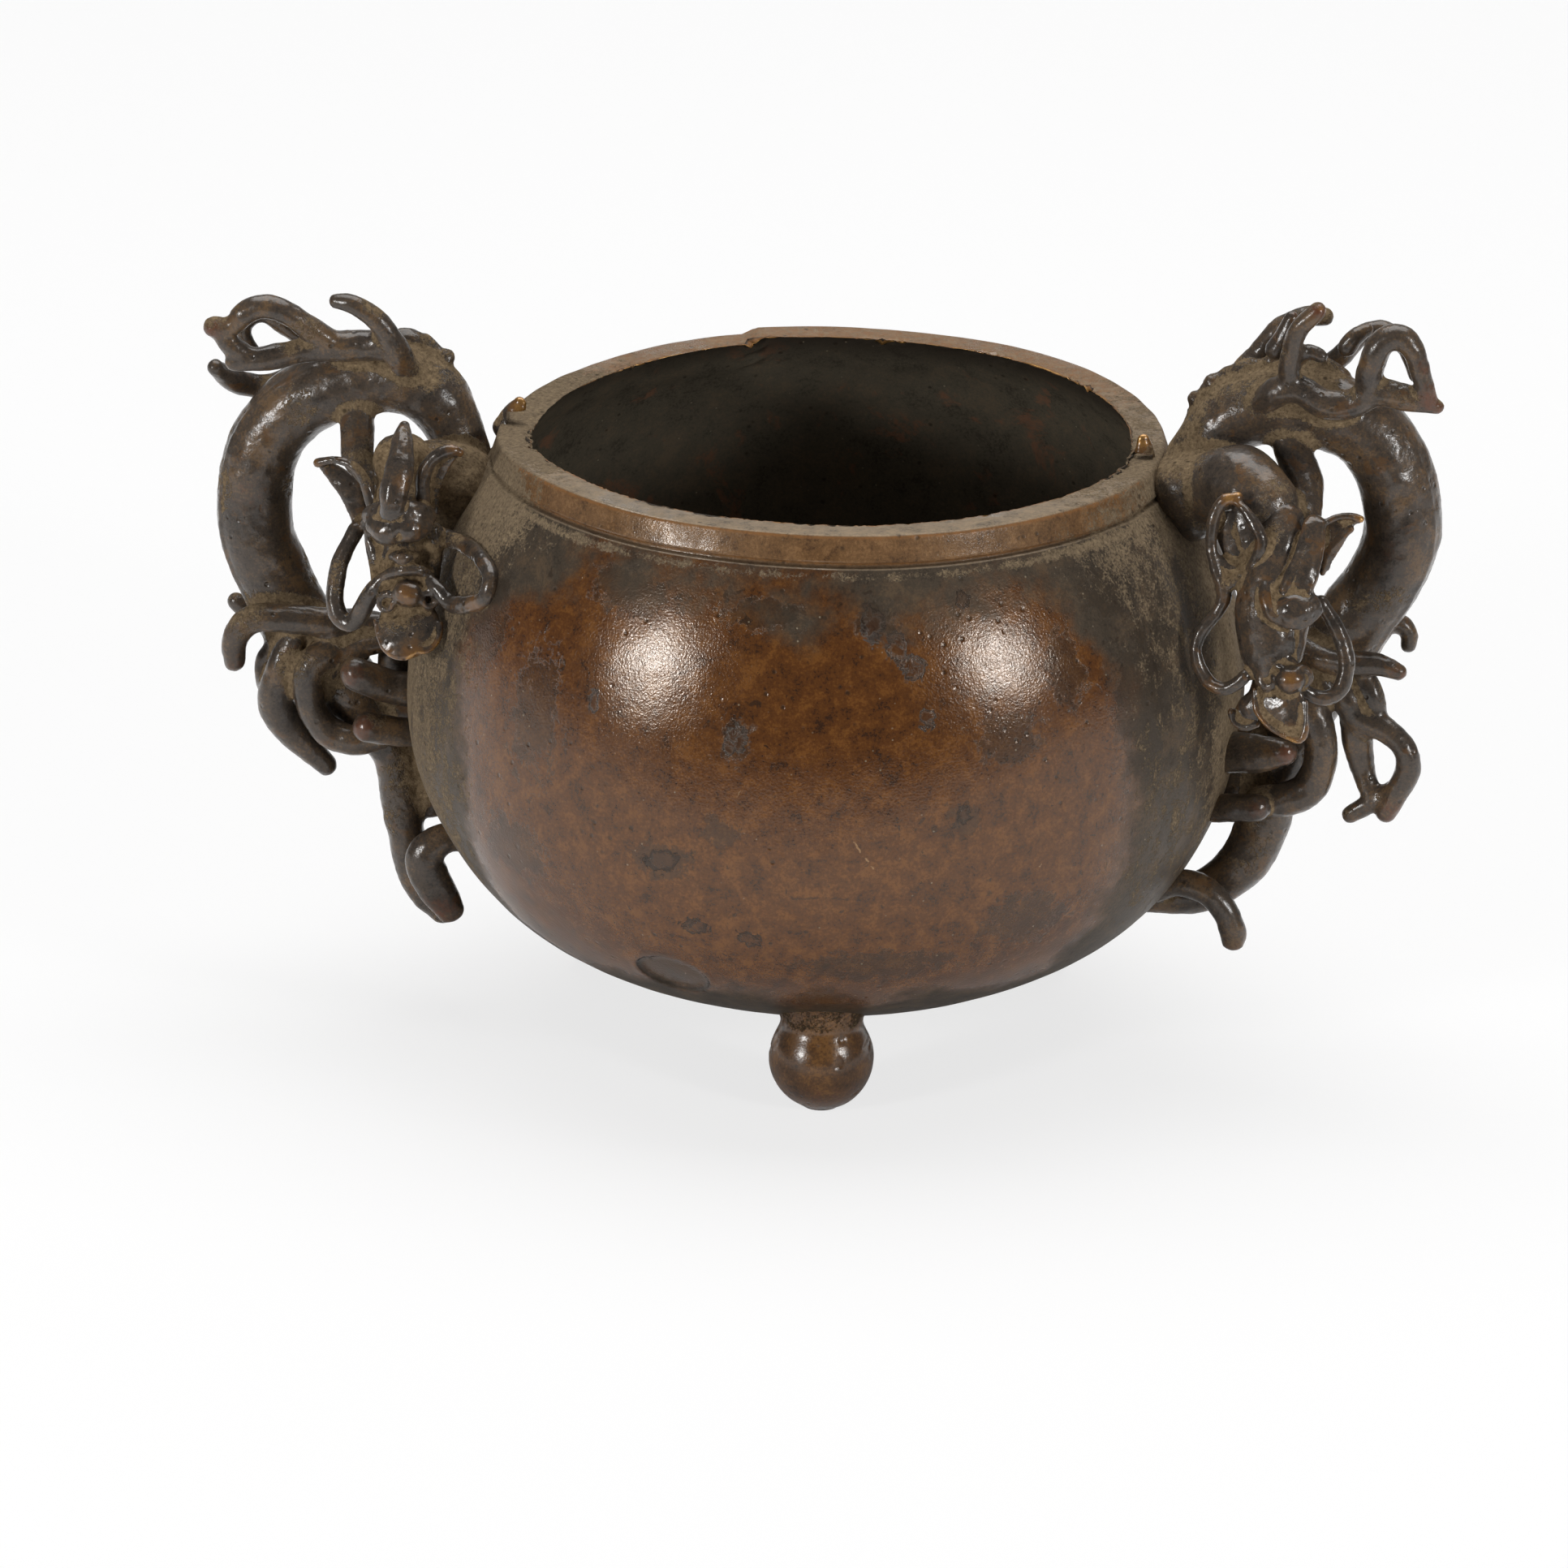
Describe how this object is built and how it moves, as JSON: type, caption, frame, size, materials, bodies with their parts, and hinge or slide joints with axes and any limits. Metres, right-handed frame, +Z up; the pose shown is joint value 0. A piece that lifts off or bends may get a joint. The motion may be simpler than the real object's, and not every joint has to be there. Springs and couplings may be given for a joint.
{
  "type": "bronze incense burner",
  "caption": "Round-bellied bronze incense burner with a thick rim, ball feet, and a coiled dragon at each side as a loop handle.",
  "frame": {"origin": "on the floor, at the middle of the footprint, under the axis of the round bowl to within a millimetre or so", "axes": "+X to the right through the right handle, -Y to the front, which both dragon heads face, +Z up"},
  "size_m": [0.2544, 0.165, 0.1633],
  "materials": {
    "bowl_bronze": "chestnut-brown patina with grey-green clouding, satin",
    "dragon_bronze": "dark brown patina with tan dust in the hollows, satin",
    "worn_bronze": "brown patina rubbed bright on the edges",
    "foot_bronze": "dark amber-brown patina, semi-gloss"
  },
  "bodies": {
    "root": {"bowl": "bowl_bronze", "foot_front": "foot_bronze", "foot_back_right": "foot_bronze", "foot_back_left": "foot_bronze", "left_dragon_body": "dragon_bronze", "left_dragon_neck": "dragon_bronze", "left_dragon_tail": "dragon_bronze", "left_dragon_tail_web": "dragon_bronze", "left_dragon_tail_tip": "worn_bronze", "left_dragon_nape_strut": "dragon_bronze", "left_dragon_mane": "dragon_bronze", "left_dragon_head": "dragon_bronze", "left_dragon_horn": "worn_bronze", "left_dragon_brow": "worn_bronze", "left_dragon_nose": "worn_bronze", "left_dragon_upper_lip": "worn_bronze", "left_dragon_lower_jaw": "dragon_bronze", "left_dragon_ear_outer": "dragon_bronze", "left_dragon_ear_inner": "dragon_bronze", "left_dragon_whisker_outer": "worn_bronze", "left_dragon_whisker_inner": "worn_bronze", "left_dragon_fore_paw": "dragon_bronze", "left_dragon_rear_fore_paw": "dragon_bronze", "left_dragon_hind_paw": "dragon_bronze", "left_dragon_hind_leg": "dragon_bronze", "left_dragon_rear_hind_paw": "dragon_bronze", "left_dragon_thigh": "dragon_bronze", "left_dragon_upper_toe": "worn_bronze", "left_dragon_lower_toe": "worn_bronze", "left_dragon_hooked_toe": "dragon_bronze", "left_dragon_wall_brace": "dragon_bronze", "right_dragon_body": "dragon_bronze", "right_dragon_neck": "dragon_bronze", "right_dragon_tail": "dragon_bronze", "right_dragon_tail_tip": "worn_bronze", "right_dragon_nape_strut": "dragon_bronze", "right_dragon_mane": "dragon_bronze", "right_dragon_head": "dragon_bronze", "right_dragon_horn": "worn_bronze", "right_dragon_brow": "worn_bronze", "right_dragon_nose": "worn_bronze", "right_dragon_upper_lip": "worn_bronze", "right_dragon_lower_jaw": "dragon_bronze", "right_dragon_ear_inner": "dragon_bronze", "right_dragon_ear_outer": "dragon_bronze", "right_dragon_whisker_inner": "worn_bronze", "right_dragon_whisker_outer": "worn_bronze", "right_dragon_fore_paw": "dragon_bronze", "right_dragon_rear_fore_paw": "dragon_bronze", "right_dragon_hind_paw": "dragon_bronze", "right_dragon_hind_leg": "dragon_bronze", "right_dragon_rear_hind_paw": "dragon_bronze", "right_dragon_thigh": "dragon_bronze", "right_dragon_upper_toe": "worn_bronze", "right_dragon_lower_toe": "dragon_bronze", "rim_tang_left": "worn_bronze", "rim_tang_right": "worn_bronze"}
  },
  "joints": []
}
